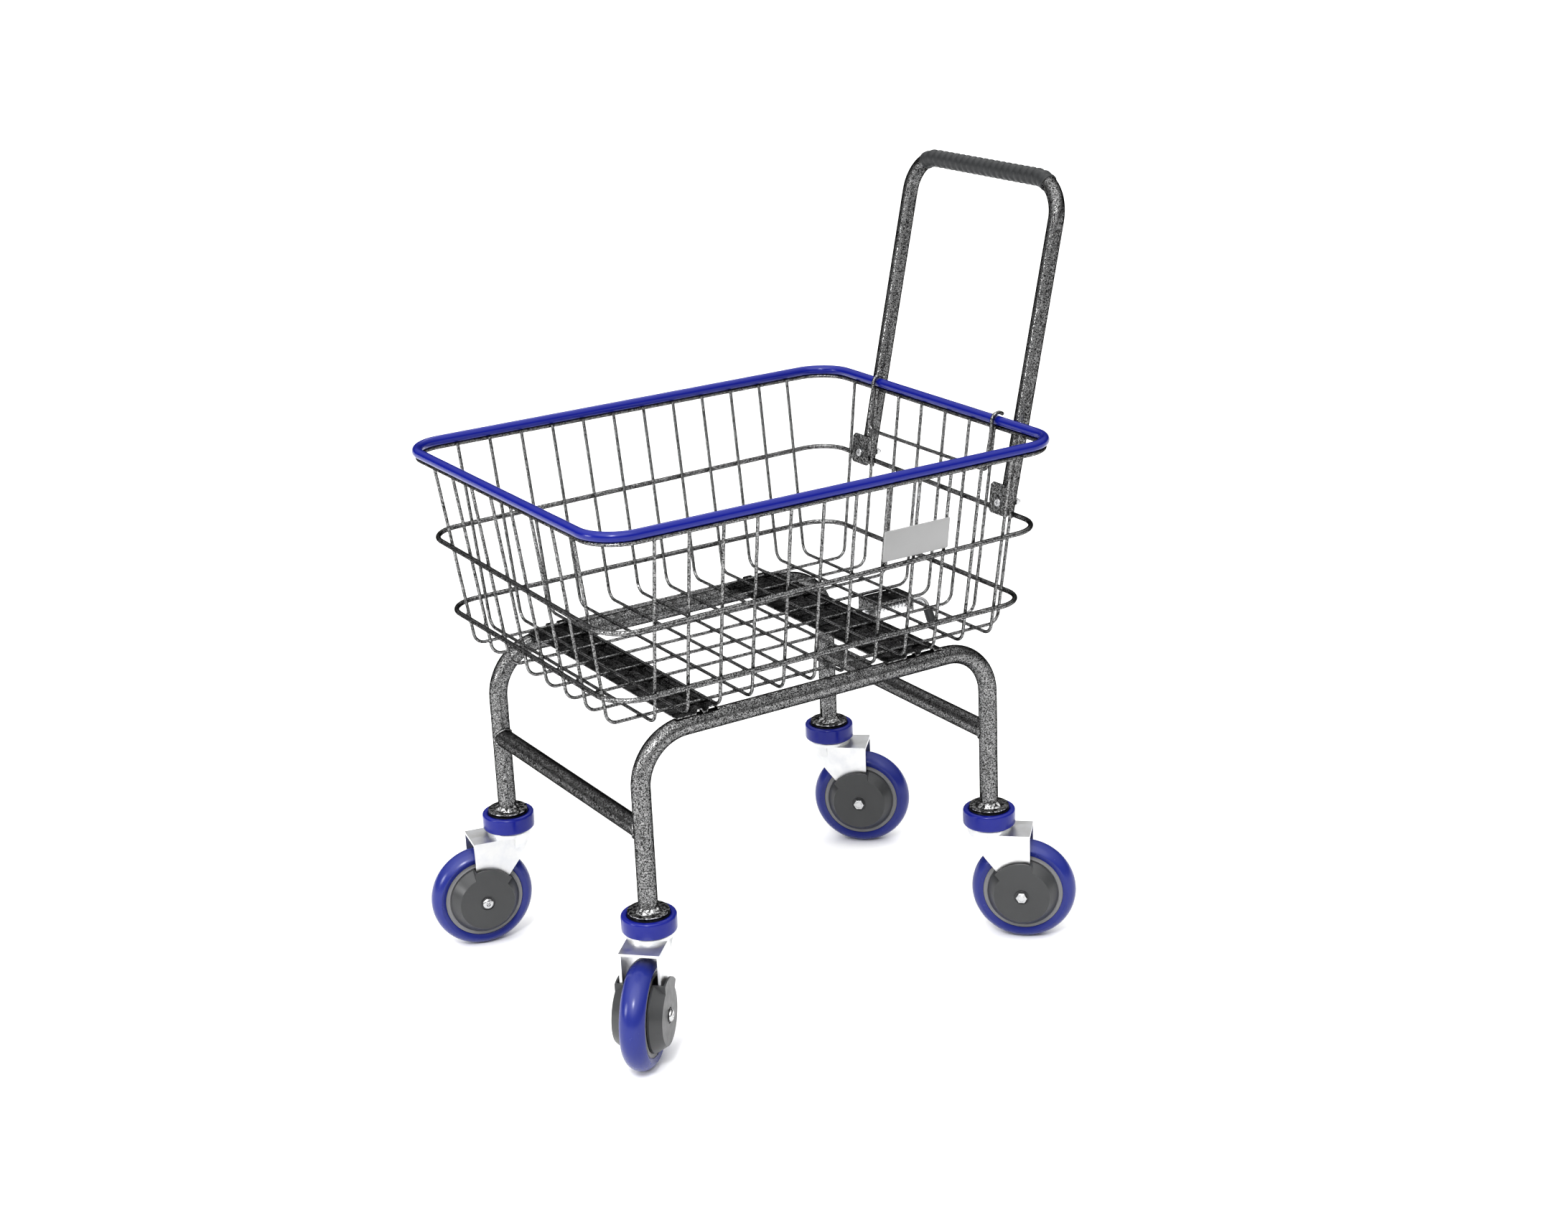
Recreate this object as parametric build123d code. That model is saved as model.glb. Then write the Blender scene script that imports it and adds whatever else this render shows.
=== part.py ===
from build123d import *
from math import atan, atan2, cos, degrees, hypot, pi, radians, sin, sqrt
import os

# Shopping cart: wire basket on a bent-tube frame with four swivel casters.
# Millimetres. +X runs along the cart towards the push handle, +Y across it, +Z up.
# The origin lies on the floor, midway between the four caster swivel axes.

# Frame
WHEELBASE = 474.0          # between front and rear swivel axes, along X
TRACK = 352.0              # between left and right swivel axes, along Y
FRAME_TUBE_D = 22.2
FRAME_TUBE_WALL = 1.5
RAIL_Z = 378.0             # axis of the horizontal top rails
LEG_BOTTOM_Z = 172.1
FRAME_BEND_R = 60.0
LEG_SLOT = (4.0, 17.0)      # width and height of the slot at the foot of each rear leg
CROSS_TUBE_Z = 267.0
WELD_GAP = 0.02            # joint line between parts that are welded together

# Basket
BASKET_X = -2.0            # basket centre relative to the frame centre
RIM_LENGTH = 599.0         # between sleeve axes
RIM_WIDTH = 481.0
RIM_Z = 630.2
RIM_CORNER_R = 45.0
SLEEVE_D = 11.6
CORE_WIRE_D = 6.0
RIM_WIRE_D = 5.0
BASKET_WIRE_D = 4.0
RING_WIRE_D = 6.0
RING_CORNER_R = 40.0
UPPER_RING_Z = 525.3
UPPER_RING_TILT = (0.78, -0.82)    # degrees about x and y: welded on slightly out of level
UPPER_RING_SHIFT = (0.5, 0.5)      # keeps the tilted ring against the leaning walls
UPPER_RING_GROWTH = (0.4, 0.55)
LOWER_RING_Z = 436.0
LOWER_RING_FRONT_GAP = 3.4         # the lower ring stands off the front wall
WALL_TOP_Z = 623.5         # free ends of the upright wires
FLOOR_Z = 401.0            # axis of the crosswise floor wires
WALL_TOP_HALF_X = 294.3    # upright wire axes, at the top and at the floor
WALL_TOP_HALF_Y = 237.0
FLOOR_HALF_X = 264.2
FLOOR_HALF_Y = 200.6
WIRE_BEND_R = 14.0
CROSSWISE_COUNT = 12
CROSSWISE_TOP_PITCH = 42.3
CROSSWISE_FLOOR_PITCH = 41.0
LENGTHWISE_COUNT = 8
LENGTHWISE_TOP_PITCH = 49.0
LENGTHWISE_FLOOR_PITCH = 46.7
LABEL_SIZE = (89.0, 37.6, 1.2)
LABEL_X = 103.0
LABEL_Z = 548.25
TOUCH = 0.02               # gap left where two wires touch at a weld

# Handle
HANDLE_TUBE_D = 19.0
HANDLE_TUBE_WALL = 1.5
HANDLE_HALF_WIDTH = 145.5
HANDLE_TOP = (377.0, 905.0)    # x and z of the handle bar axis
HANDLE_LEAN = 12.8             # degrees back from vertical
HANDLE_FOOT_Z = 518.0
HANDLE_BEND_R = 45.0
GRIP_D = 21.4
GRIP_BEND_ANGLE = 28.0         # how far the grip runs round each bend
SCOOP_TOP_Z = 557.0            # the inner side of each leg is cut away below this
CLAMP_PLATE = (37.0, 37.0, 2.5)
CLAMP_PLATE_Z = 541.5
CLAMP_SCREW_Z = 537.5
CLAMP_SCREW_D = 5.0

# Bag hook wire, hung over the rim inside the rear wall
HOOK_WIRE_D = 4.5
HOOK_HALF_WIDTH = 123.0
HOOK_BAR_Z = 572.0
HOOK_BEND_R = 9.0
HOOK_END_ANGLE = 50.0      # where the hooked ends stop, above the horizontal

# Casters
WHEEL_D = 127.0
TYRE_WIDTH = 30.0
TYRE_INNER_R = 48.5
TRAIL = 41.5
FORK_INNER_HALF = 20.5
FORK_SHEET = 3.0
FORK_TOP_Z = 141.0
FORK_BACK = 9.7            # rear edge of the legs behind the axle
FORK_FRONT_TOP = (-27.5, 141.0)
FORK_FRONT_LOW = (7.5, 97.0)
RACE_R = 27.0
RACE_TOP_Z = 146.6
KINGPIN_D = 12.0
AXLE_D = 8.0
SLEEVE_BEARING_D = 12.0
BUMPER_D = 63.5
BUMPER_Z = (147.4, 168.0)
HOUSING_D = 48.0
HUB_R = 15.0
GUARD_R = 43.0
GUARD_RIM_Y = 13.5
GUARD_FACE_Y = 29.0
GUARD_WALL = 2.2
HEAD_GROOVE = (7.6, 9.2, 0.9)    # inner and outer radius and depth, round the bolt head
BALL_D = 5.0
BALL_CIRCLE_R = 17.0
BALLS_PER_SWIVEL = 12
RUNNING = 0.05             # radial clearance of a shaft in its bearing

# Latch under the rear of the basket floor
LATCH_X = (188.0, 246.0)
LATCH_Y = (-14.0, 22.0)
LATCH_SHEET = 2.0
LATCH_ROD_D = 7.0
LATCH_ROD_Y = -3.0
LATCH_ROD_Z = 383.3
LATCH_FLANGE_FOOT = 8.0        # flange below the rod axis
PULL_BEND_X = 24.0             # bend of the rod behind the rear flange
PULL_DROP = (-1.0, -15.0, -25.0)
PULL_TIP_D = 11.5
COLLAR_T = 3.0
COLLAR_GAP = 0.3           # between the collar and the front flange at rest
SPRING_WIRE_D = 1.4
SPRING_D = 12.0
SPRING_TURNS = 9

# Channels that carry the basket floor
CHANNEL_SHEET = 1.5
CHANNEL_HALF_LENGTH = 181.0

CASTERS = {
    "front_left": (-1, -1, -134.0),
    "front_right": (-1, 1, 169.0),
    "rear_right": (1, 1, -42.0),
    "rear_left": (1, -1, -43.0),
}

os.makedirs("parts", exist_ok=True)


def save(shape, name):
    export_step(shape, f"parts/{name}.step")


def group(solids):
    return Compound(children=list(solids))


def swept(path, outer_d, inner_d=0.0):
    """Round wire or tube along a path."""
    start = Plane(origin=path @ 0, z_dir=path % 0)
    section = start * Circle(outer_d / 2)
    if inner_d:
        section = section - start * Circle(inner_d / 2)
    return sweep(section, path=path).solid()


def rounded_loop(length, width, radius, centre, wire_d, bore_d=0.0):
    """Closed ring of round wire, a rectangle with rounded corners in plan."""
    hx, hy = length / 2, width / 2
    solids = []
    for sign in (1, -1):
        lines = FilletPolyline(
            (0, sign * -hy), (sign * hx, sign * -hy), (sign * hx, sign * hy), (0, sign * hy),
            radius=radius,
        )
        path = Plane(origin=centre) * lines
        solids.append(swept(path, wire_d, bore_d))
    return (solids[0] + solids[1]).solid()


def box_between(low, high):
    size = [b - a for a, b in zip(low, high)]
    middle = [(a + b) / 2 for a, b in zip(low, high)]
    return Pos(*middle) * Box(*size)


def wall_half(z, top, floor):
    """Half size of the basket at the upright wires' axes, at height z."""
    share = (z - FLOOR_Z) / (WALL_TOP_Z - FLOOR_Z)
    return floor + share * (top - floor)


def wall_half_x(z):
    return wall_half(z, WALL_TOP_HALF_X, FLOOR_HALF_X)


def wall_half_y(z):
    return wall_half(z, WALL_TOP_HALF_Y, FLOOR_HALF_Y)


WALL_LEAN_X = degrees(atan((WALL_TOP_HALF_X - FLOOR_HALF_X) / (WALL_TOP_Z - FLOOR_Z)))
WALL_LEAN_Y = degrees(atan((WALL_TOP_HALF_Y - FLOOR_HALF_Y) / (WALL_TOP_Z - FLOOR_Z)))


# ---------------------------------------------------------------- frame

def side_frame(side):
    """Inverted U of tube: two legs and the rail between them."""
    hx = WHEELBASE / 2
    line = FilletPolyline(
        (-hx, LEG_BOTTOM_Z), (-hx, RAIL_Z), (hx, RAIL_Z), (hx, LEG_BOTTOM_Z),
        radius=FRAME_BEND_R,
    )
    plane = Plane(origin=(0, side * TRACK / 2, 0), x_dir=(1, 0, 0), z_dir=(0, -1, 0))
    tube = swept(plane * line, FRAME_TUBE_D, FRAME_TUBE_D - 2 * FRAME_TUBE_WALL)
    w, h = LEG_SLOT
    y = side * TRACK / 2
    slot = box_between((hx - FRAME_TUBE_D, y - w / 2, LEG_BOTTOM_Z - 1),
                       (hx - FRAME_TUBE_D / 4, y + w / 2, LEG_BOTTOM_Z + h))
    return (tube - slot).solid()


def cross_tube(end):
    """Tube between the two legs of one end, coped to fit round them."""
    x = end * WHEELBASE / 2
    spot = Pos(x, 0, CROSS_TUBE_Z) * Rot(90, 0, 0)
    tube = spot * (Cylinder(FRAME_TUBE_D / 2, TRACK)
                   - Cylinder(FRAME_TUBE_D / 2 - FRAME_TUBE_WALL, TRACK + 2))
    for side in (-1, 1):
        leg = Pos(x, side * TRACK / 2, CROSS_TUBE_Z)
        tube -= leg * Cylinder(FRAME_TUBE_D / 2 + WELD_GAP, 4 * FRAME_TUBE_D)
    return tube.solid()


def channel(x_low, x_high, crown):
    """Pressed sheet across both rails: raised crown with a groove, and a flange each side."""
    base = RAIL_Z + FRAME_TUBE_D / 2 + WELD_GAP
    top = FLOOR_Z - BASKET_WIRE_D / 2 - BASKET_WIRE_D - TOUCH
    c0, c1 = crown
    groove = c0 + 0.42 * (c1 - c0)
    half_groove = 3.0
    ramp = 2.0
    t = CHANNEL_SHEET
    outline = [
        (x_low, base), (c0, base), (c0 + ramp, top - t), (groove - half_groove - ramp, top - t),
        (groove - half_groove, base), (groove + half_groove, base),
        (groove + half_groove + ramp, top - t), (c1 - ramp, top - t), (c1, base), (x_high, base),
    ]
    above = [
        (x_high, base + t), (c1 + 0.6, base + t), (c1 + 0.6 - ramp, top),
        (groove + half_groove + ramp - 0.6, top), (groove + half_groove - 0.6, base + t),
        (groove - half_groove + 0.6, base + t), (groove - half_groove - ramp + 0.6, top),
        (c0 + ramp - 0.6, top), (c0 - 0.6, base + t), (x_low, base + t),
    ]
    face = Plane.XZ * make_face(Polyline(*outline, *above, close=True))
    sheet = extrude(face, amount=CHANNEL_HALF_LENGTH, both=True)
    return sheet.solid()


def leg_washers():
    """Flange washer and spacer under each leg."""
    solids = []
    for sx, sy, _ in CASTERS.values():
        spot = Pos(sx * WHEELBASE / 2, sy * TRACK / 2, 0)
        top = LEG_BOTTOM_Z - TOUCH
        washer = Pos(0, 0, top - 1.0) * Cylinder(24.0, 2.0)
        spacer = Pos(0, 0, top - 2.0 - 0.9) * Cylinder(20.0, 1.8)
        ring = washer + spacer
        ring -= Pos(0, 0, top) * Cylinder(KINGPIN_D / 2 + RUNNING, 20)
        solids.append((spot * ring).solid())
    return group(solids)


# ---------------------------------------------------------------- basket

def upright_wire(points):
    return swept(FilletPolyline(*points, radius=WIRE_BEND_R), BASKET_WIRE_D)


def crosswise_wires():
    """U-shaped wires across the basket: side wall, floor, side wall."""
    wires = []
    for i in range(CROSSWISE_COUNT):
        step = i - (CROSSWISE_COUNT - 1) / 2
        xt = BASKET_X + step * CROSSWISE_TOP_PITCH
        xf = BASKET_X + step * CROSSWISE_FLOOR_PITCH
        wires.append(upright_wire([
            (xt, -WALL_TOP_HALF_Y, WALL_TOP_Z), (xf, -FLOOR_HALF_Y, FLOOR_Z),
            (xf, FLOOR_HALF_Y, FLOOR_Z), (xt, WALL_TOP_HALF_Y, WALL_TOP_Z),
        ]))
    return group(wires)


def lengthwise_wires():
    """U-shaped wires along the basket, their floor run under the crosswise wires."""
    floor_z = FLOOR_Z - BASKET_WIRE_D - TOUCH
    floor_x = wall_half_x(floor_z)
    wires = []
    for i in range(LENGTHWISE_COUNT):
        step = i - (LENGTHWISE_COUNT - 1) / 2
        yt = step * LENGTHWISE_TOP_PITCH
        yf = step * LENGTHWISE_FLOOR_PITCH
        wires.append(upright_wire([
            (BASKET_X - WALL_TOP_HALF_X, yt, WALL_TOP_Z), (BASKET_X - floor_x, yf, floor_z),
            (BASKET_X + floor_x, yf, floor_z), (BASKET_X + WALL_TOP_HALF_X, yt, WALL_TOP_Z),
        ]))
    return group(wires)


def outer_ring(z, shift, growth, tilt):
    """Thicker wire ring welded round the outside of the upright wires."""
    clear = (BASKET_WIRE_D + RING_WIRE_D) / 2 + 0.15
    length = 2 * (wall_half_x(z) + clear + growth[0])
    width = 2 * (wall_half_y(z) + clear + growth[1])
    ring = rounded_loop(length, width, RING_CORNER_R, (0, 0, 0), RING_WIRE_D)
    return (Pos(BASKET_X + shift[0], shift[1], z) * Rot(tilt[0], tilt[1], 0) * ring).solid()


def rim_wire():
    """Bare wire directly under the sleeve, outside the tops of the upright wires."""
    z = RIM_Z - SLEEVE_D / 2 - RIM_WIRE_D / 2 - TOUCH
    clear = (BASKET_WIRE_D + RIM_WIRE_D) / 2 + 0.15
    return rounded_loop(2 * (wall_half_x(z) + clear), 2 * (wall_half_y(z) + clear),
                        RIM_CORNER_R, (BASKET_X, 0, z), RIM_WIRE_D)


def rim_core():
    return rounded_loop(RIM_LENGTH, RIM_WIDTH, RIM_CORNER_R, (BASKET_X, 0, RIM_Z), CORE_WIRE_D)


def rim_sleeve():
    """Coloured plastic tube pushed over the rim's core wire."""
    return rounded_loop(RIM_LENGTH, RIM_WIDTH, RIM_CORNER_R, (BASKET_X, 0, RIM_Z),
                        SLEEVE_D, CORE_WIRE_D + 0.1)


def label_plate():
    """Blank plate on the left wall, outside the upright wires and above the upper ring."""
    w, h, t = LABEL_SIZE
    z = LABEL_Z
    off = (BASKET_WIRE_D + t) / 2 + 0.1
    plate = Box(w, t, h)
    plate = fillet(plate.edges().filter_by(Axis.Y), 1.5)
    return (Pos(LABEL_X, -wall_half_y(z), z) * Rot(WALL_LEAN_Y, 0, 0) * Pos(0, -off, 0) * plate).solid()


# ---------------------------------------------------------------- handle

def handle_plane():
    lean = radians(HANDLE_LEAN)
    return Plane(origin=(HANDLE_TOP[0], 0, HANDLE_TOP[1]), x_dir=(0, 1, 0),
                 z_dir=(cos(lean), 0, -sin(lean)))


def handle_axis_x(z):
    return HANDLE_TOP[0] - (HANDLE_TOP[1] - z) * sin(radians(HANDLE_LEAN)) / cos(radians(HANDLE_LEAN))


def handle_tube():
    """Bent tube; the inner side of each leg's foot is cut away to straddle the upper ring."""
    drop = (HANDLE_TOP[1] - HANDLE_FOOT_Z) / cos(radians(HANDLE_LEAN)) + 20
    line = FilletPolyline(
        (-HANDLE_HALF_WIDTH, -drop), (-HANDLE_HALF_WIDTH, 0), (HANDLE_HALF_WIDTH, 0),
        (HANDLE_HALF_WIDTH, -drop), radius=HANDLE_BEND_R,
    )
    tube = swept(handle_plane() * line, HANDLE_TUBE_D, HANDLE_TUBE_D - 2 * HANDLE_TUBE_WALL)
    reach = 2 * HANDLE_HALF_WIDTH + 4 * HANDLE_TUBE_D
    below = Pos(HANDLE_TOP[0] - 80, 0, HANDLE_FOOT_Z - 50) * Box(300, reach, 100)
    ring_outer = BASKET_X + wall_half_x(UPPER_RING_Z) + BASKET_WIRE_D / 2 + RING_WIRE_D + 1.4
    scoop = box_between((ring_outer - 60, -reach / 2, HANDLE_FOOT_Z - 5),
                        (ring_outer, reach / 2, SCOOP_TOP_Z))
    tube = tube - below - scoop
    for side in (-1, 1):
        tube -= clamp_frame(side) * Rot(0, 90, 0) * Cylinder(CLAMP_SCREW_D / 2 + 0.2, 120)
    return tube.solid()


def handle_grip():
    """Soft sleeve over the bar and the start of both bends."""
    plane = handle_plane()
    straight = HANDLE_HALF_WIDTH - HANDLE_BEND_R
    r = HANDLE_BEND_R
    a = GRIP_BEND_ANGLE
    left = CenterArc((-straight, -r), r, 90 + a, -a)
    bar = Line((-straight, 0), (straight, 0))
    right = CenterArc((straight, -r), r, 90, -a)
    path = plane * Wire([left.edge(), bar.edge(), right.edge()])
    return swept(path, GRIP_D, HANDLE_TUBE_D + 0.1)


def clamp_frame(side):
    """Place at the inside of the rear wall where a handle leg is clamped."""
    z = CLAMP_SCREW_Z
    x = BASKET_X + wall_half_x(z)
    return Pos(x, side * HANDLE_HALF_WIDTH, z) * Rot(0, WALL_LEAN_X, 0)


def clamp_plates():
    """Flat plates between two upright wires, inside the upper ring."""
    w, h, t = CLAMP_PLATE
    plates = []
    for side in (-1, 1):
        plate = Box(t, w, h)
        plate = chamfer(plate.edges().filter_by(Axis.X), 4.0)
        hole = Pos(0, 0, CLAMP_SCREW_Z - CLAMP_PLATE_Z) * Rot(0, 90, 0)
        plate -= hole * Cylinder(CLAMP_SCREW_D / 2 + 0.2, 20)
        shift = Pos(0.5, 0, CLAMP_PLATE_Z - CLAMP_SCREW_Z)
        plates.append((clamp_frame(side) * shift * plate).solid())
    return group(plates)


def clamp_screws():
    """Pan-head screws through plate and leg."""
    t = CLAMP_PLATE[2]
    screws = []
    for side in (-1, 1):
        head_x = 0.5 - t / 2 - 0.03
        head = Pos(head_x - 1.6, 0, 0) * Rot(0, 90, 0) * Cylinder(5.2, 3.2)
        head = fillet(head.edges().sort_by(Axis.X)[:1], 1.4)
        slot = Pos(head_x - 3.0, 0, 0) * (Box(1.6, 5.0, 1.1) + Box(1.6, 1.1, 5.0))
        shank = Pos(head_x + 15.5, 0, 0) * Rot(0, 90, 0) * Cylinder(CLAMP_SCREW_D / 2, 31.0)
        screws.append((clamp_frame(side) * (head - slot + shank)).solid())
    return group(screws)


def clamp_nuts():
    nuts = []
    for side in (-1, 1):
        x = handle_axis_x(CLAMP_SCREW_Z) + HANDLE_TUBE_D / 2 - BASKET_X - wall_half_x(CLAMP_SCREW_Z)
        body = extrude(RegularPolygon(4.6, 6), amount=2.0, both=True)
        body -= Cylinder(CLAMP_SCREW_D / 2 + 0.02, 20)
        nuts.append((clamp_frame(side) * Pos(x + 3.0, 0, 0) * Rot(0, 90, 0) * body).solid())
    return group(nuts)


# ---------------------------------------------------------------- bag hook wire

def hook_wire():
    """One wire: hook over the rim, down the wall, across, up and a second hook."""
    rim_x = BASKET_X + RIM_LENGTH / 2
    wrap = SLEEVE_D / 2 + HOOK_WIRE_D / 2 + 1.6
    inside = BASKET_X + wall_half_x(HOOK_BAR_Z) - (BASKET_WIRE_D + HOOK_WIRE_D) / 2 - 0.5
    halves = []
    for side in (-1, 1):
        y = side * HOOK_HALF_WIDTH
        hook_plane = Plane(origin=(rim_x, y, RIM_Z), x_dir=(1, 0, 0), z_dir=(0, -1, 0))
        top = hook_plane * CenterArc((0, 0), wrap, HOOK_END_ANGLE, 180 - HOOK_END_ANGLE)
        leg = FilletPolyline((rim_x - wrap, y, RIM_Z), (inside, y, HOOK_BAR_Z), (inside, 0, HOOK_BAR_Z),
                             radius=HOOK_BEND_R)
        hook = sweep(Plane(origin=top @ 0, z_dir=top % 0) * Circle(HOOK_WIRE_D / 2), path=top)
        arm = sweep(Plane(origin=leg @ 0, z_dir=leg % 0) * Circle(HOOK_WIRE_D / 2), path=leg)
        knee = Pos(rim_x - wrap, y, RIM_Z) * Sphere(HOOK_WIRE_D / 2)
        halves.append(hook + knee + arm)
    return (halves[0] + halves[1]).solid()


# ---------------------------------------------------------------- casters

def place(name, shape):
    """Move a shape from the caster's own frame, trailing along +X, to its corner."""
    sx, sy, heading = CASTERS[name]
    return Pos(sx * WHEELBASE / 2, sy * TRACK / 2, 0) * Rot(0, 0, heading) * shape


def about_axle(profile):
    """Solid of revolution about the wheel axle from points (radius, y)."""
    face = Plane.XY * make_face(Polyline(*profile, close=True))
    return Pos(TRAIL, 0, WHEEL_D / 2) * revolve(face, axis=Axis.Y)


def tyre():
    r, w = WHEEL_D / 2, TYRE_WIDTH / 2
    shoulder = 9.0
    outline = (
        Line((TYRE_INNER_R, -w + 2), (r - shoulder, -w))
        + ThreePointArc((r - shoulder, -w), (r, 0), (r - shoulder, w))
        + Line((r - shoulder, w), (TYRE_INNER_R, w - 2))
        + Line((TYRE_INNER_R, w - 2), (TYRE_INNER_R, -w + 2))
    )
    return Pos(TRAIL, 0, r) * revolve(make_face(outline), axis=Axis.Y)


def wheel_core():
    """Plastic centre: rim, web and hub."""
    r = TYRE_INNER_R - TOUCH
    hub = HUB_R
    bore = SLEEVE_BEARING_D / 2 + RUNNING
    hub_half = FORK_INNER_HALF - 0.5
    rim_half = TYRE_WIDTH / 2 - 2.2
    web_half = 3.0
    half = [
        (bore, hub_half), (hub, hub_half), (hub, web_half), (r - 6.5, web_half),
        (r - 6.5, rim_half), (r, rim_half),
    ]
    other = [(x, -y) for x, y in reversed(half)]
    return about_axle(half + other).solid()


def axle_sleeve():
    spot = Pos(TRAIL, 0, WHEEL_D / 2) * Rot(90, 0, 0)
    length = 2 * FORK_INNER_HALF - 2 * TOUCH
    ring = Cylinder(SLEEVE_BEARING_D / 2, length) - Cylinder(AXLE_D / 2 + 0.05, length + 2)
    return (spot * ring).solid()


def fork_side_face():
    """Side outline of the fork: upright rear edge, front edge slanting down to the axle."""
    axle_z = WHEEL_D / 2
    run = FORK_FRONT_LOW[0] - FORK_FRONT_TOP[0]
    slope = (FORK_FRONT_TOP[1] - FORK_FRONT_LOW[1]) / run
    front_x = TRAIL - 17.0
    front_z = FORK_FRONT_LOW[1] - slope * (front_x - FORK_FRONT_LOW[0])
    back = TRAIL + FORK_BACK
    points = [
        FORK_FRONT_TOP, FORK_FRONT_LOW, (front_x, front_z), (TRAIL - 8, axle_z - 11),
        (TRAIL + 5, axle_z - 11), (back, axle_z - 4), (back, FORK_FRONT_TOP[1]),
    ]
    return make_face(Polyline(*points[:1], *points[2:], close=True))


def fork_plan(radius, back):
    """Plan outline of the fork: straight sides, half-round front about the swivel axis."""
    half = Circle(radius) + Pos(back / 2, 0) * Rectangle(back, 2 * radius)
    return half.face()


def fork():
    """Pressed fork: crown plate and flared race in front, two legs behind."""
    outer = FORK_INNER_HALF + FORK_SHEET
    back = TRAIL + FORK_BACK
    side = extrude(Plane.XZ * fork_side_face(), amount=2 * RACE_R, both=True)
    wall = extrude(Pos(0, 0, 40) * fork_plan(outer, back), amount=FORK_TOP_Z - 40)
    hollow = Pos(0, 0, 30) * fork_plan(FORK_INNER_HALF, back + 5)
    hollow = extrude(hollow, amount=FORK_TOP_Z - FORK_SHEET - 30)
    flare_h = 26.0
    flare = Pos(0, 0, FORK_TOP_Z - flare_h / 2) * Cone(FORK_INNER_HALF, RACE_R, flare_h)
    flare = flare & box_between((-50, -50, 0), (0, 50, FORK_TOP_Z))
    body = (wall + flare) & side
    body = body - hollow
    race = Pos(0, 0, (FORK_TOP_Z + RACE_TOP_Z) / 2) * Cylinder(RACE_R, RACE_TOP_Z - FORK_TOP_Z)
    race = fillet(race.edges().sort_by(Axis.Z)[-1:], 2.0)
    body = body + race
    body = body - Pos(0, 0, FORK_TOP_Z) * Cylinder(KINGPIN_D / 2 + RUNNING, 60)
    body = body - Pos(0, 0, RACE_TOP_Z + 0.4) * Torus(BALL_CIRCLE_R, BALL_D / 2 + RUNNING)
    body = body - Pos(TRAIL, 0, WHEEL_D / 2) * Rot(90, 0, 0) * Cylinder(AXLE_D / 2 + 0.05, 80)
    return body.solid()


def leg_prism(grow, low, high):
    """The side outline of a fork leg, grown all round and extruded across."""
    face = Plane.XZ * offset(fork_side_face(), amount=grow)
    slab = extrude(face, amount=60, both=True)
    return slab & box_between((-60, low, 0), (120, high, 200))


def thread_guard(side):
    """Moulded cover outside one fork leg: a dish with a pocket for the leg."""
    face, rim, wall, r = GUARD_FACE_Y, GUARD_RIM_Y, GUARD_WALL, GUARD_R
    flat_r = 34.0
    axle_z = WHEEL_D / 2
    leg_outer = FORK_INNER_HALF + FORK_SHEET
    dish = about_axle([
        (0, face), (flat_r, face), (r, rim + 2.5), (r, rim), (r - wall, rim), (r - wall, rim + 1.5),
        (flat_r - wall, face - wall), (0, face - wall),
    ])
    drum = about_axle([(0, rim), (r, rim), (r, face), (0, face)])
    guard = dish + (drum & leg_prism(2.6, rim, face))
    guard = guard - leg_prism(0.4, rim - 1, face - wall)
    guard = guard - about_axle([(0, rim - 1), (HUB_R + 2, rim - 1), (HUB_R + 2, 20.8), (0, 20.8)])
    guard = guard + about_axle([
        (0, leg_outer + TOUCH), (10, leg_outer + TOUCH), (10, face - 0.5), (0, face - 0.5)])
    guard = guard - Pos(TRAIL, 0, axle_z) * Rot(90, 0, 0) * Cylinder(AXLE_D / 2 + 0.05, 80)
    inner, outer, depth = HEAD_GROOVE
    guard = guard - about_axle([
        (inner, face - depth), (outer, face - depth), (outer, face + 1), (inner, face + 1)])
    if side < 0:
        guard = mirror(guard, about=Plane.XZ)
    return guard.solid()


def axle_bolt():
    """Bolt with a round head, through guards, fork and sleeve."""
    shank_to = GUARD_FACE_Y + 5.2
    spot = Pos(TRAIL, 0, WHEEL_D / 2)
    shank = Rot(90, 0, 0) * Pos(0, 0, 0) * Cylinder(AXLE_D / 2, 2 * shank_to)
    head = Pos(0, GUARD_FACE_Y + TOUCH + 2.0, 0) * Rot(90, 0, 0) * Cylinder(7.2, 4.0)
    head = fillet(head.edges().sort_by(Axis.Y)[-1:], 1.6)
    cut = Pos(0, GUARD_FACE_Y + 20 + 4.0, 0) * Box(30, 40, 30)
    return (spot * (shank - cut + head)).solid()


def axle_nut():
    nut = extrude(RegularPolygon(7.4, 6), amount=2.3, both=True)
    nut = nut & Cylinder(7.1, 4.6)
    nut = nut - Cylinder(AXLE_D / 2 + 0.02, 20)
    return (Pos(TRAIL, -(GUARD_FACE_Y + 2.3 + TOUCH), WHEEL_D / 2) * Rot(90, 0, 0) * nut).solid()


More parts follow.
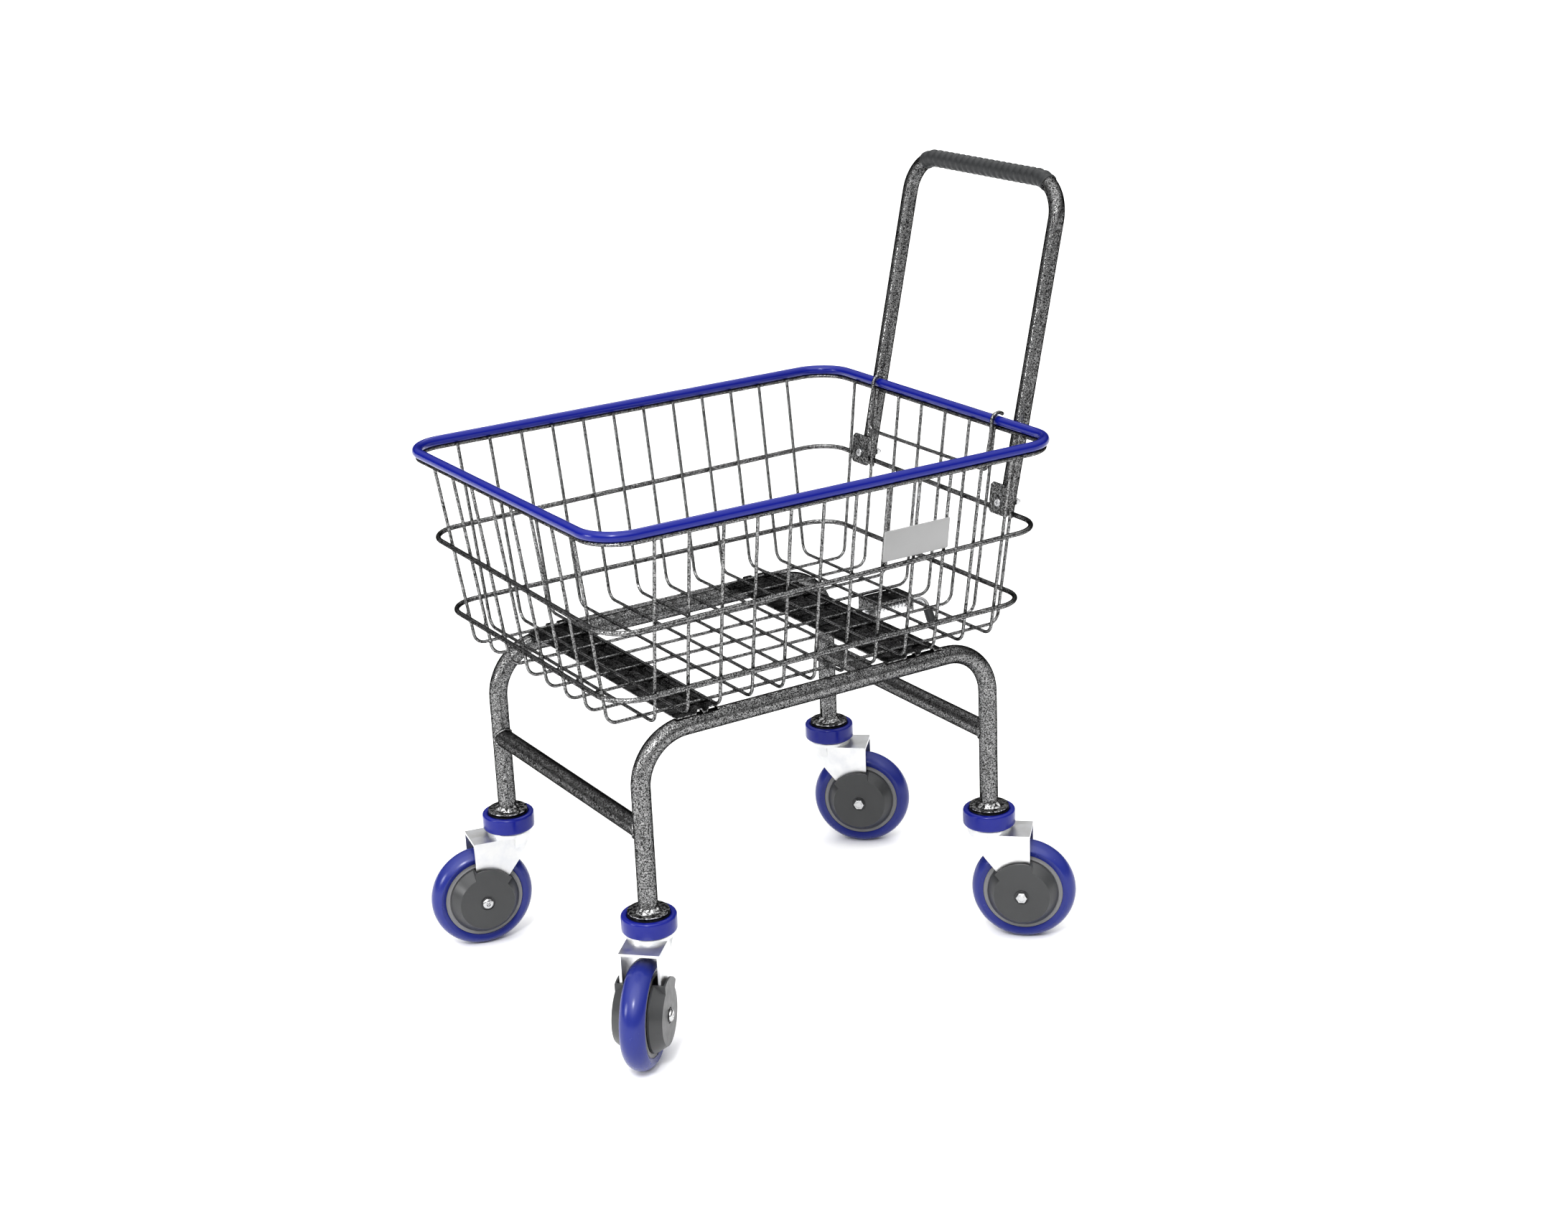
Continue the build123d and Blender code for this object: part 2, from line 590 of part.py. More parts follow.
def swivel_parts():
    """Kingpins, race housings, bumper rings and bearing balls of all four casters."""
    pins, housings, bumpers, balls = [], [], [], []
    low, high = BUMPER_Z
    bore = FRAME_TUBE_D / 2 - FRAME_TUBE_WALL - 0.02
    for name in CASTERS:
        shank = Pos(0, 0, (FORK_TOP_Z - 6 + 175) / 2) * Cylinder(KINGPIN_D / 2, 175 - FORK_TOP_Z + 6)
        head = Pos(0, 0, FORK_TOP_Z - FORK_SHEET - 0.3 - 1.5) * Cylinder(9.5, 3.0)
        plug = Pos(0, 0, LEG_BOTTOM_Z + 30) * Cylinder(bore, 60)
        pins.append(place(name, shank + head + plug).solid())
        housing = Pos(0, 0, (low + high) / 2) * Cylinder(HOUSING_D / 2, high - low)
        housing -= Cylinder(KINGPIN_D / 2 + TOUCH, 600)
        housing -= Pos(0, 0, RACE_TOP_Z + 0.4) * Torus(BALL_CIRCLE_R, BALL_D / 2 + RUNNING)
        housings.append(place(name, housing).solid())
        bumper = Pos(0, 0, (low + high) / 2) * Cylinder(BUMPER_D / 2, high - low)
        bumper = fillet(bumper.edges(), 5.0)
        bumper -= Cylinder(HOUSING_D / 2 + TOUCH, 600)
        bumpers.append(place(name, bumper).solid())
        for i in range(BALLS_PER_SWIVEL):
            turn = 2 * pi * i / BALLS_PER_SWIVEL
            spot = Pos(BALL_CIRCLE_R * cos(turn), BALL_CIRCLE_R * sin(turn), RACE_TOP_Z + 0.4)
            balls.append(place(name, spot * Sphere(BALL_D / 2)).solid())
    return group(pins), group(housings), group(bumpers), group(balls)


# ---------------------------------------------------------------- latch

PULL_CORNER = Vector(LATCH_X[1] + PULL_BEND_X, LATCH_ROD_Y, LATCH_ROD_Z)
PULL_END = PULL_CORNER + Vector(*PULL_DROP)


def latch_bracket():
    """Inverted U of sheet under the basket floor, holding the plunger in both flanges."""
    x0, x1 = LATCH_X
    y0, y1 = LATCH_Y
    top = FLOOR_Z - BASKET_WIRE_D * 1.5 - 2 * TOUCH
    foot = LATCH_ROD_Z - LATCH_FLANGE_FOOT
    plate = box_between((x0, y0, top - LATCH_SHEET), (x1, y1, top))
    for spot in (0.3, 0.7):
        hole = Pos(x0 + spot * (x1 - x0), y1 - 10, top)
        plate -= hole * Cylinder(3.0, 10)
    front = box_between((x0, y0, foot), (x0 + LATCH_SHEET, y1, top))
    back = box_between((x1 - LATCH_SHEET, y0, foot), (x1, y1, top))
    bracket = plate + front + back
    bore = Pos((x0 + x1) / 2, LATCH_ROD_Y, LATCH_ROD_Z) * Rot(0, 90, 0)
    bracket -= bore * Cylinder(LATCH_ROD_D / 2 + RUNNING, 2 * (x1 - x0))
    return bracket.solid()


def latch_plunger():
    """Rod with a collar for the spring; its free end is bent down as a pull."""
    x0 = LATCH_X[0]
    front = Vector(x0 - 9.0, LATCH_ROD_Y, LATCH_ROD_Z)
    path = FilletPolyline(front, PULL_CORNER, PULL_END, radius=11.0)
    rod = swept(path, LATCH_ROD_D)
    collar = Pos(x0 + LATCH_SHEET + COLLAR_GAP + COLLAR_T / 2, LATCH_ROD_Y, LATCH_ROD_Z)
    collar = collar * Rot(0, 90, 0) * Cylinder(6.5, COLLAR_T)
    return (rod + collar).solid()


def latch_tip():
    """Soft dipped end on the pull."""
    start = PULL_CORNER + Vector(*PULL_DROP) * 0.5
    along = Plane(origin=start, z_dir=Vector(*PULL_DROP))
    length = (PULL_END - start).length
    tip = along * Pos(0, 0, length / 2) * Cylinder(PULL_TIP_D / 2, length)
    tip = tip + along * Pos(0, 0, length) * Sphere(PULL_TIP_D / 2)
    return (tip - latch_plunger()).solid()


def latch_spring():
    """Coil between the collar and the rear flange."""
    x0, x1 = LATCH_X
    start = x0 + LATCH_SHEET + COLLAR_GAP + COLLAR_T + 0.1 + SPRING_WIRE_D / 2
    end = x1 - LATCH_SHEET - 0.1 - SPRING_WIRE_D / 2
    pitch = (end - start) / SPRING_TURNS
    radius = (SPRING_D - SPRING_WIRE_D) / 2
    helix = Helix(pitch=pitch, height=end - start, radius=radius)
    section = Plane(origin=helix @ 0, z_dir=helix % 0) * Circle(SPRING_WIRE_D / 2)
    coil = sweep(section, path=helix, is_frenet=True)
    return (Pos(start, LATCH_ROD_Y, LATCH_ROD_Z) * Rot(0, 90, 0) * coil).solid()


# ---------------------------------------------------------------- build

save(side_frame(-1), "side_frame_left")
save(side_frame(1), "side_frame_right")
save(cross_tube(-1), "cross_tube_front")
save(cross_tube(1), "cross_tube_rear")
save(channel(-190.0, -134.0, (-165.0, -137.0)), "floor_channel_front")
save(channel(90.0, 168.0, (117.0, 157.0)), "floor_channel_rear")
save(leg_washers(), "leg_washers")
save(crosswise_wires(), "crosswise_wires")
save(lengthwise_wires(), "lengthwise_wires")
save(outer_ring(UPPER_RING_Z, UPPER_RING_SHIFT, UPPER_RING_GROWTH, UPPER_RING_TILT), "upper_ring")
gap = LOWER_RING_FRONT_GAP / 2
save(outer_ring(LOWER_RING_Z, (-gap, 0.0), (gap, 0.0), (0.0, 0.0)), "lower_ring")
save(rim_wire(), "rim_wire")
save(rim_core(), "rim_core_wire")
save(rim_sleeve(), "rim_sleeve")
save(label_plate(), "label_plate")
save(handle_tube(), "handle_tube")
save(handle_grip(), "handle_grip")
save(clamp_plates(), "clamp_plates")
save(clamp_screws(), "clamp_screws")
save(clamp_nuts(), "clamp_nuts")
save(hook_wire(), "bag_hook_wire")
save(latch_bracket(), "latch_bracket")
save(latch_plunger(), "latch_plunger")
save(latch_tip(), "latch_tip")
save(latch_spring(), "latch_spring")

kingpins, housings, bumpers, balls = swivel_parts()
save(kingpins, "kingpins")
save(housings, "swivel_housings")
save(bumpers, "bumper_rings")
save(balls, "swivel_balls")

CASTER_SHAPES = {
    "fork": fork(),
    "axle_bolt": axle_bolt(),
    "axle_nut": axle_nut(),
    "axle_sleeve": axle_sleeve(),
    "wheel_core": wheel_core(),
    "tyre": tyre().solid(),
}
GUARDS = [thread_guard(side) for side in (-1, 1)]
for corner in CASTERS:
    for piece, shape in CASTER_SHAPES.items():
        save(place(corner, shape), f"{piece}_{corner}")
    save(group(place(corner, guard) for guard in GUARDS), f"thread_guards_{corner}")
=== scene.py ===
import math
import random

import bmesh
import bpy
from mathutils import Matrix, Vector


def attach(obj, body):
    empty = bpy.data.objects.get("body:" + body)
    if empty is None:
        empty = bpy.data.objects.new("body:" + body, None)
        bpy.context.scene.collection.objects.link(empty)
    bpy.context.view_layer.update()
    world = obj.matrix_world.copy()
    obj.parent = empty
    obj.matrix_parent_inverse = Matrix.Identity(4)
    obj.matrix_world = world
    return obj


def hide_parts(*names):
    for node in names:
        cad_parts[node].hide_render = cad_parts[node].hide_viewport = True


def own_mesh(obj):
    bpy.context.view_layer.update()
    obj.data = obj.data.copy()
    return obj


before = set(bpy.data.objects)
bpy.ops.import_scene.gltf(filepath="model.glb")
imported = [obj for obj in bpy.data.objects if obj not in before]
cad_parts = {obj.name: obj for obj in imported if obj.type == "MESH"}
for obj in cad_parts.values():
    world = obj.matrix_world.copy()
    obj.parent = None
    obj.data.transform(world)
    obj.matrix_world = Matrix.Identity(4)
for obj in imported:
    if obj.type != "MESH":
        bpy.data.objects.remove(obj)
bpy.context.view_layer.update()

# Sizes in millimetres, as in the CAD model. Origin on the floor between the swivel axes,
# +X towards the handle, +Y across, +Z up.
MM = 0.001
HALF_BASE, HALF_TRACK = 237.0, 176.0
TUBE_R, LEG_Z, CROSS_Z = 11.1, 172.1, 267.0
BASKET_X = -2.0
RIM_HX, RIM_HY, RIM_Z, RIM_R, RIM_BEND = 299.5, 240.5, 630.2, 5.8, 45.0
WALL_TOP_Z, FLOOR_Z = 623.5, 401.0
TOP_HX, TOP_HY, FLOOR_HX, FLOOR_HY = 294.3, 237.0, 264.2, 200.6
WIRE_R, WIRE_BEND, RING_R, RING_BEND, BARE_RIM_R = 2.0, 14.0, 3.0, 40.0, 2.5
ACROSS_COUNT, ALONG_COUNT = 12, 8
# Spacing of the wires at the basket floor, and how much wider it is at the top.
ACROSS_PITCH, ACROSS_SPREAD = 41.0, 1.3
ALONG_PITCH, ALONG_SPREAD = 46.7, 2.3
# Height, shift, growth and tilt (degrees about x and y) of each ring round the basket.
RINGS = {
    "upper": (525.3, (0.5, 0.5), (0.4, 0.55), (0.78, -0.82)),
    "lower": (436.0, (-1.7, 0.0), (1.7, 0.0), (0.0, 0.0)),
}
HANDLE_HY, HANDLE_X, HANDLE_Z, HANDLE_LEAN, HANDLE_BEND = 145.5, 377.0, 905.0, 12.8, 45.0
TRAIL, WHEEL_R = 41.5, 63.5
# Which end and side of the cart each caster is at, and the heading it is parked at in degrees.
CASTERS = {
    "front_left": (-1, -1, -134.0),
    "front_right": (-1, 1, 169.0),
    "rear_right": (1, 1, -42.0),
    "rear_left": (1, -1, -43.0),
}
rng = random.Random(11)


# ------------------------------------------------------------------ camera

CAMERA_AT = (-1.39275, -2.36104, 1.37519)
CAMERA_TURN = (31.7076, 19.1023, -2.4067)
CAMERA_LENS, CAMERA_SENSOR = 56.1, 36.0


def add_camera():
    az, el, roll = (math.radians(a) for a in CAMERA_TURN)
    ahead = Vector((math.sin(az) * math.cos(el), math.cos(az) * math.cos(el), -math.sin(el)))
    side = ahead.cross(Vector((0, 0, 1))).normalized()
    up = side.cross(ahead)
    right = math.cos(roll) * side + math.sin(roll) * up
    top = -math.sin(roll) * side + math.cos(roll) * up
    cam = bpy.data.cameras.new("camera")
    cam.sensor_width = CAMERA_SENSOR
    cam.lens = CAMERA_LENS
    cam.clip_end = 200.0
    obj = bpy.data.objects.new("camera", cam)
    place = Matrix((right, top, -ahead)).transposed().to_4x4()
    place.translation = Vector(CAMERA_AT)
    obj.matrix_world = place
    bpy.context.scene.collection.objects.link(obj)
    bpy.context.scene.camera = obj


add_camera()


# ------------------------------------------------------------------ materials

def new_material(name, color, metallic, roughness):
    mat = bpy.data.materials.new(name)
    mat.use_nodes = True
    tree = mat.node_tree
    shader = tree.nodes["Principled BSDF"]
    shader.inputs["Base Color"].default_value = (*color, 1)
    shader.inputs["Metallic"].default_value = metallic
    shader.inputs["Roughness"].default_value = roughness
    coords = tree.nodes.new("ShaderNodeTexCoord")
    return mat, tree, shader, coords.outputs["Object"]


def noise(tree, coords, scale, detail=3.0, rough=0.5):
    node = tree.nodes.new("ShaderNodeTexNoise")
    node.inputs["Scale"].default_value = scale
    node.inputs["Detail"].default_value = detail
    node.inputs["Roughness"].default_value = rough
    tree.links.new(coords, node.inputs["Vector"])
    return node


def ramp(tree, source, stops):
    node = tree.nodes.new("ShaderNodeValToRGB")
    while len(node.color_ramp.elements) < len(stops):
        node.color_ramp.elements.new(0.5)
    for element, (at, color) in zip(node.color_ramp.elements, stops):
        element.position = at
        element.color = (*color, 1)
    tree.links.new(source, node.inputs["Fac"])
    return node


def grey(v):
    return (v, v, v)


def bump(tree, shader, height, strength, distance):
    node = tree.nodes.new("ShaderNodeBump")
    node.inputs["Strength"].default_value = strength
    node.inputs["Distance"].default_value = distance
    tree.links.new(height, node.inputs["Height"])
    tree.links.new(node.outputs["Normal"], shader.inputs["Normal"])


def hammertone(name, dark, light, size, metallic):
    """Silver-vein powder coat: bright flakes, of that size in metres, over a dark ground."""
    mat, tree, shader, coords = new_material(name, grey(light), metallic, 0.36)
    flakes = noise(tree, coords, 0.55 / size, 3.0, 0.75)
    flakes.inputs["Distortion"].default_value = 0.6
    grains = ramp(tree, flakes.outputs["Fac"], [(0.43, grey(0.0)), (0.56, grey(1.0))])
    broad = noise(tree, coords, 0.12 / size, 3.0, 0.6)
    spread = ramp(tree, broad.outputs["Fac"], [(0.32, grey(0.72)), (0.6, grey(1.0))])
    tone = tree.nodes.new("ShaderNodeMath")
    tone.operation = "MULTIPLY"
    tree.links.new(grains.outputs["Color"], tone.inputs[0])
    tree.links.new(spread.outputs["Color"], tone.inputs[1])
    color = ramp(tree, tone.outputs["Value"],
                 [(0.0, grey(dark)), (0.4, grey(0.4 * light)), (1.0, grey(light))])
    tree.links.new(color.outputs["Color"], shader.inputs["Base Color"])
    shader.inputs["Specular Tint"].default_value = (0.0, 0.0, 0.0, 1.0)
    shader.inputs["Specular IOR Level"].default_value = 0.3
    rough = ramp(tree, tone.outputs["Value"], [(0.0, grey(0.26)), (1.0, grey(0.18))])
    tree.links.new(rough.outputs["Color"], shader.inputs["Roughness"])
    bump(tree, shader, tone.outputs["Value"], 0.5, 0.0002)
    return mat


def plastic(name, color, roughness, grain=0.0, shade=0.12):
    """Moulded plastic with slight mottling, fine grain and handling marks."""
    mat, tree, shader, coords = new_material(name, color, 0.0, roughness)
    patches = noise(tree, coords, 26.0, 5.0, 0.6)
    low = tuple(c * (1 - shade) for c in color)
    high = tuple(min(1, c * (1 + shade)) for c in color)
    tint = ramp(tree, patches.outputs["Fac"], [(0.35, low), (0.65, high)])
    tree.links.new(tint.outputs["Color"], shader.inputs["Base Color"])
    scuffs = noise(tree, coords, 95.0, 6.0, 0.7)
    gloss = ramp(tree, scuffs.outputs["Fac"],
                 [(0.4, grey(roughness * 0.9)), (0.72, grey(min(1.0, roughness * 1.2)))])
    tree.links.new(gloss.outputs["Color"], shader.inputs["Roughness"])
    fine = noise(tree, coords, 1500.0, 2.0)
    bump(tree, shader, fine.outputs["Fac"], 0.12 + grain, 0.00008)
    shader.inputs["Specular IOR Level"].default_value = 0.36
    return mat


def zinc(name, light, roughness, brushed=0.0):
    """Bright plated steel: faint cloudy plating and fine rolling lines."""
    mat, tree, shader, coords = new_material(name, grey(light), 1.0, roughness)
    cloud = noise(tree, coords, 60.0, 4.0, 0.6)
    dull = (light * 0.9, light * 0.91, light * 0.93)
    tint = ramp(tree, cloud.outputs["Fac"], [(0.35, dull), (0.65, (light, light, light * 0.99))])
    tree.links.new(tint.outputs["Color"], shader.inputs["Base Color"])
    gloss = ramp(tree, cloud.outputs["Fac"],
                 [(0.3, grey(roughness * 1.3)), (0.7, grey(roughness * 0.8))])
    tree.links.new(gloss.outputs["Color"], shader.inputs["Roughness"])
    stretch = tree.nodes.new("ShaderNodeMapping")
    stretch.inputs["Scale"].default_value = (1.0, 1.0, 0.05)
    tree.links.new(coords, stretch.inputs["Vector"])
    lines = noise(tree, stretch.outputs["Vector"], 1400.0, 2.0)
    bump(tree, shader, lines.outputs["Fac"], 0.08 + brushed, 0.0001)
    return mat


MAT = {
    "tube": hammertone("hammertone_tube", 0.018, 0.34, 0.0009, 1.0),
    # The handle has the same coat as the frame tubes; this darker copy of it is painted shade.
    "handle": hammertone("hammertone_handle_painted_shade", 0.014, 0.26, 0.0009, 1.0),
    "wire": hammertone("hammertone_wire", 0.022, 0.34, 0.0009, 1.0),
    "dark_coat": hammertone("hammertone_dark", 0.022, 0.32, 0.0011, 1.0),
    "weld": hammertone("weld_metal", 0.03, 0.50, 0.0022, 0.95),
    "sleeve": plastic("blue_sleeve", (0.005, 0.010, 0.170), 0.20, grain=-0.11, shade=0.02),
    "tyre": plastic("blue_tyre", (0.018, 0.026, 0.165), 0.24, grain=-0.11, shade=0.015),
    "zinc": zinc("bright_zinc", 0.72, 0.38),
    "bolt": zinc("bolt_zinc", 0.52, 0.22, 0.05),
    "spring": zinc("spring_wire", 0.74, 0.25),
    "steel": zinc("dark_steel", 0.20, 0.35),
    "guard": plastic("guard_plastic", (0.046, 0.047, 0.048), 0.34, shade=0.04),
    "core": plastic("core_plastic", (0.17, 0.17, 0.175), 0.45, grain=0.05, shade=0.05),
    "grip": plastic("grip_vinyl", (0.022, 0.023, 0.024), 0.5, grain=0.2),
    "label": plastic("label_plastic", grey(0.28), 0.5, shade=0.01),
}


# ------------------------------------------------------------------ mesh tools

class Shape:
    """Collects vertices and faces in millimetres."""

    def __init__(self):
        self.verts = []
        self.faces = []

    def add(self, verts, faces, place=None):
        base = len(self.verts)
        for v in verts:
            v = Vector(v)
            self.verts.append(place @ v if place is not None else v)
        self.faces += [tuple(i + base for i in f) for f in faces]
        return self

    def build(self, name, mat, body, replaces=(), slot=None, sharp=38.0, bevel=0.0):
        mesh = bpy.data.meshes.new(name)
        mesh.from_pydata([v * MM for v in self.verts], [], self.faces)
        bm = bmesh.new()
        bm.from_mesh(mesh)
        bmesh.ops.remove_doubles(bm, verts=bm.verts, dist=2e-7)
        bmesh.ops.recalc_face_normals(bm, faces=bm.faces)
        if bevel:
            edges = [e for e in bm.edges
                     if e.is_manifold and e.calc_face_angle(0) > math.radians(sharp)]
            bmesh.ops.bevel(bm, geom=edges, offset=bevel * MM, segments=2, profile=0.6,
                            affect="EDGES", clamp_overlap=True)
        for e in bm.edges:
            e.smooth = not e.is_manifold or e.calc_face_angle(0) < math.radians(sharp)
        for f in bm.faces:
            f.smooth = True
        bm.to_mesh(mesh)
        bm.free()
        mesh.materials.append(MAT[mat])
        obj = bpy.data.objects.new(name, mesh)
        bpy.context.scene.collection.objects.link(obj)
        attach(obj, body)
        if replaces:
            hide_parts(*replaces)
        return obj


def rounded_path(points, radius, step=6.0, closed=False):
    """Polyline with its corners turned into arcs."""
    points = [Vector(p) for p in points]
    n = len(points)
    out = []
    for i, p in enumerate(points):
        if not closed and i in (0, n - 1):
            out.append(p)
            continue
        a = (points[i - 1] - p).normalized()
        b = (points[(i + 1) % n] - p).normalized()
        inner = a.angle(b)
        if inner > math.pi - 1e-4:
            out.append(p)
            continue
        turn = math.pi - inner
        cut = radius * math.tan(turn / 2)
        centre = p + (a + b).normalized() * (radius / math.cos(turn / 2))
        start = p + a * cut - centre
        axis = (a.cross(b)).normalized()
        count = max(3, int(math.degrees(turn) / step))
        for k in range(count + 1):
            turned = start.copy()
            turned.rotate(Matrix.Rotation(-turn * k / count, 3, axis))
            out.append(centre + turned)
    return out


def split_runs(points, longest, closed=False):
    """Adds points so that no run is longer than that."""
    out = []
    n = len(points)
    for i in range(n if closed else n - 1):
        a, b = points[i], points[(i + 1) % n]
        count = max(1, int((b - a).length / longest))
        out += [a.lerp(b, k / count) for k in range(count)]
    if not closed:
        out.append(points[-1])
    return out


def frames_along(points, closed=False):
    """A tangent and two normals at each point, without twist."""
    n = len(points)
    tangents = []
    for i in range(n):
        a = points[i - 1] if (closed or i) else points[0]
        b = points[(i + 1) % n] if (closed or i < n - 1) else points[-1]
        tangents.append((b - a).normalized())
    first = tangents[0].orthogonal().normalized()
    normals = [first]
    for i in range(1, n):
        spin = tangents[i - 1].rotation_difference(tangents[i])
        normals.append((spin @ normals[-1]).normalized())
    if closed:
        spin = tangents[-1].rotation_difference(tangents[0])
        back = spin @ normals[-1]
        slip = math.atan2(tangents[0].dot(back.cross(first)), back.dot(first))
        normals = [Matrix.Rotation(slip * i / n, 3, t) @ v
                   for i, (t, v) in enumerate(zip(tangents, normals))]
    return tangents, normals


def tube(shape, points, radius, sides, closed=False, round_ends=False, place=None):
    """Round bar along points; radius is a number or a function of (distance along, angle)."""
    tangents, normals = frames_along(points, closed)
    lengths = [0.0]
    for a, b in zip(points, points[1:]):
        lengths.append(lengths[-1] + (b - a).length)
    verts, faces = [], []

    def ring(centre, t, nrm, at, scale=1.0):
        other = t.cross(nrm)
        for k in range(sides):
            angle = 2 * math.pi * k / sides
            r = radius(at, angle) if callable(radius) else radius
            out = nrm * math.cos(angle) + other * math.sin(angle)
            verts.append(centre + out * r * scale)

    def dome(i, at, outwards, angles):
        for angle in angles:
            a = math.radians(angle)
            ring(points[i] + outwards * tangents[i] * radius * math.sin(a), tangents[i], normals[i],
                 at, math.cos(a))

    if round_ends:
        dome(0, 0.0, -1, (75, 50, 25))
    for p, t, nrm, at in zip(points, tangents, normals, lengths):
        ring(p, t, nrm, at)
    if round_ends:
        dome(-1, lengths[-1], 1, (25, 50, 75))
    rings = len(verts) // sides
    for i in range(rings if closed else rings - 1):
        j = (i + 1) % rings
        for k in range(sides):
            m = (k + 1) % sides
            faces.append((i * sides + k, i * sides + m, j * sides + m, j * sides + k))
    if not closed:
        faces.append(tuple(range(sides - 1, -1, -1)))
        faces.append(tuple((rings - 1) * sides + k for k in range(sides)))
    return shape.add(verts, faces, place)


def circle(sides):
    """Cosine and sine at each step round a circle."""
    angles = [2 * math.pi * k / sides for k in range(sides)]
    return [(math.cos(a), math.sin(a)) for a in angles]


def lathe(shape, profile, sides, place):
    """Revolves (radius, height) about local Z; a last radius of zero closes the end."""
    verts, faces, rows = [], [], []
    for r, z in profile:
        if r < 1e-6:
            rows.append([len(verts)])
            verts.append((0, 0, z))
        else:
            rows.append(list(range(len(verts), len(verts) + sides)))
            verts += [(r * c, r * s, z) for c, s in circle(sides)]
    for a, b in zip(rows, rows[1:]):
        for k in range(sides):
            m = (k + 1) % sides
            if len(b) == 1:
                faces.append((a[k], b[0], a[m]))
            else:
                faces.append((a[k], b[k], b[m], a[m]))
    return shape.add(verts, faces, place)


def soften(profile, radius, steps=4):
    """Rounds the corners of an open (radius, height) profile."""
    points = [Vector((x, z, 0)) for x, z in profile]
    out = []
    for i, p in enumerate(points):
        if i in (0, len(points) - 1):
            out.append((p.x, p.y))
            continue
        before, after = points[i - 1], points[i + 1]
        la, lb = (before - p).length, (after - p).length
        cut = min(radius, la * 0.45, lb * 0.45)
        a = p + (before - p).normalized() * cut
        b = p + (after - p).normalized() * cut
        for k in range(steps + 1):
            s = k / steps
            q = a * (1 - s) ** 2 + p * 2 * s * (1 - s) + b * s * s
            out.append((q.x, q.y))
    return out


def blob(shape, centre, radii):
    """Small lumpy ellipsoid, such as a weld nugget."""
    rows, sides, rough = 4, 8, 0.15
    rand = random.Random(rng.random())
    verts, faces = [(0, 0, -radii[2])], []
    for i in range(1, rows):
        lat = -math.pi / 2 + math.pi * i / rows
        for k in range(sides):
            lon = 2 * math.pi * k / sides
            wob = 1 + rough * (rand.random() - 0.5)
            verts.append((radii[0] * math.cos(lat) * math.cos(lon) * wob,
                          radii[1] * math.cos(lat) * math.sin(lon) * wob,
                          radii[2] * math.sin(lat)))
    verts.append((0, 0, radii[2]))
    top = len(verts) - 1
    for k in range(sides):
        m = (k + 1) % sides
        faces.append((0, 1 + m, 1 + k))
        faces.append((top, top - sides + k, top - sides + m))
        for i in range(rows - 2):
            a = 1 + i * sides
            faces.append((a + k, a + m, a + sides + m, a + sides + k))
    return shape.add(verts, faces, Matrix.Translation(Vector(centre)))


def bead(shape, points, radius):
    """Weld bead: a closed, lumpy rope of metal along a seam."""
    phase = rng.random() * 6

    def wavy(at, angle):
        waves = 0.16 * math.sin(at * 2.1 + phase) + 0.08 * math.sin(at * 5.3 + 2 * phase)
        return radius * (1 + waves)

    return tube(shape, split_runs(points, 0.9, closed=True), wavy, 10, closed=True)


def paint(node, mat):
    """Puts a material on a CAD node that is shown as it is."""
    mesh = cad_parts[node].data
    mesh.materials.clear()
    mesh.materials.append(MAT[mat])


# ------------------------------------------------------------------ frame

def cope(dx, radius):
    """How far a leg of that radius reaches inwards, dx away from its middle plane."""
    return HALF_TRACK - math.sqrt(max(0.0, radius ** 2 - dx ** 2))


def cross_tubes():
    sides, overlap = 40, 0.3
    for end, word in ((-1, "front"), (1, "rear")):
        verts = []
        for side in (-1, 1):
            for c, s in circle(sides):
                dx, dz = TUBE_R * c, TUBE_R * s
                reach = cope(dx, TUBE_R) + overlap
                verts.append((end * HALF_BASE + dx, side * reach, CROSS_Z + dz))
        faces = [(k, (k + 1) % sides, sides + (k + 1) % sides, sides + k) for k in range(sides)]
        Shape().add(verts, faces).build(f"cross_tube_{word}_coped", "tube", "frame",
                                        [f"cross_tube_{word}"], "hammertone_coat")


def foot_bead(shape, x, y):
    """Lumpy fillet weld where a leg stands on its flange washer."""
    sides, rows = 72, 9
    phases = [rng.random() * 6.28 for _ in range(4)]
    verts, faces = [], []
    for j in range(rows):
        share = j / (rows - 1)
        for k in range(sides):
            a = 2 * math.pi * k / sides
            lump = 1 + 0.22 * math.sin(9 * a + phases[0] + 2 * share)
            lump += 0.14 * math.sin(17 * a + phases[1])
            lump += 0.10 * math.sin(29 * a + phases[2] - 5 * share) + 0.08 * rng.random()
            spread = 6.2 + 0.9 * math.sin(3 * a + phases[3])
            out = TUBE_R - 0.4 + spread * share * (0.85 + 0.15 * lump)
            up = 5.2 * (1 - share) ** 1.6 * (0.7 + 0.3 * lump)
            up += 1.3 * math.sin(math.pi * share) * lump
            verts.append((x + out * math.cos(a), y + out * math.sin(a), LEG_Z - 0.6 + up))
    for j in range(rows - 1):
        for k in range(sides):
            m = (k + 1) % sides
            faces.append((j * sides + k, j * sides + m, (j + 1) * sides + m, (j + 1) * sides + k))
    for k in range(sides):
        m = (k + 1) % sides
        faces.append(((rows - 1) * sides + k, (rows - 1) * sides + m, m, k))
    shape.add(verts, faces)


def weld_beads():
    bead_r, narrow = 1.5, 0.96
    seams, feet = Shape(), Shape()
    for end in (-1, 1):
        for side in (-1, 1):
            x, y = end * HALF_BASE, side * HALF_TRACK
            loop = []
            for c, s in circle(60):
                dx, dz = (TUBE_R + 0.7) * c * narrow, (TUBE_R + 0.7) * s
                loop.append(Vector((x + dx, side * cope(dx, TUBE_R + 0.5), CROSS_Z + dz)))
            bead(seams, loop, bead_r)
            foot_bead(feet, x, y)
    seams.build("cross_tube_welds", "tube", "frame", slot="hammertone_coat", sharp=60)
    feet.build("leg_foot_welds", "weld", "frame", slot="hammertone_coat", sharp=70)


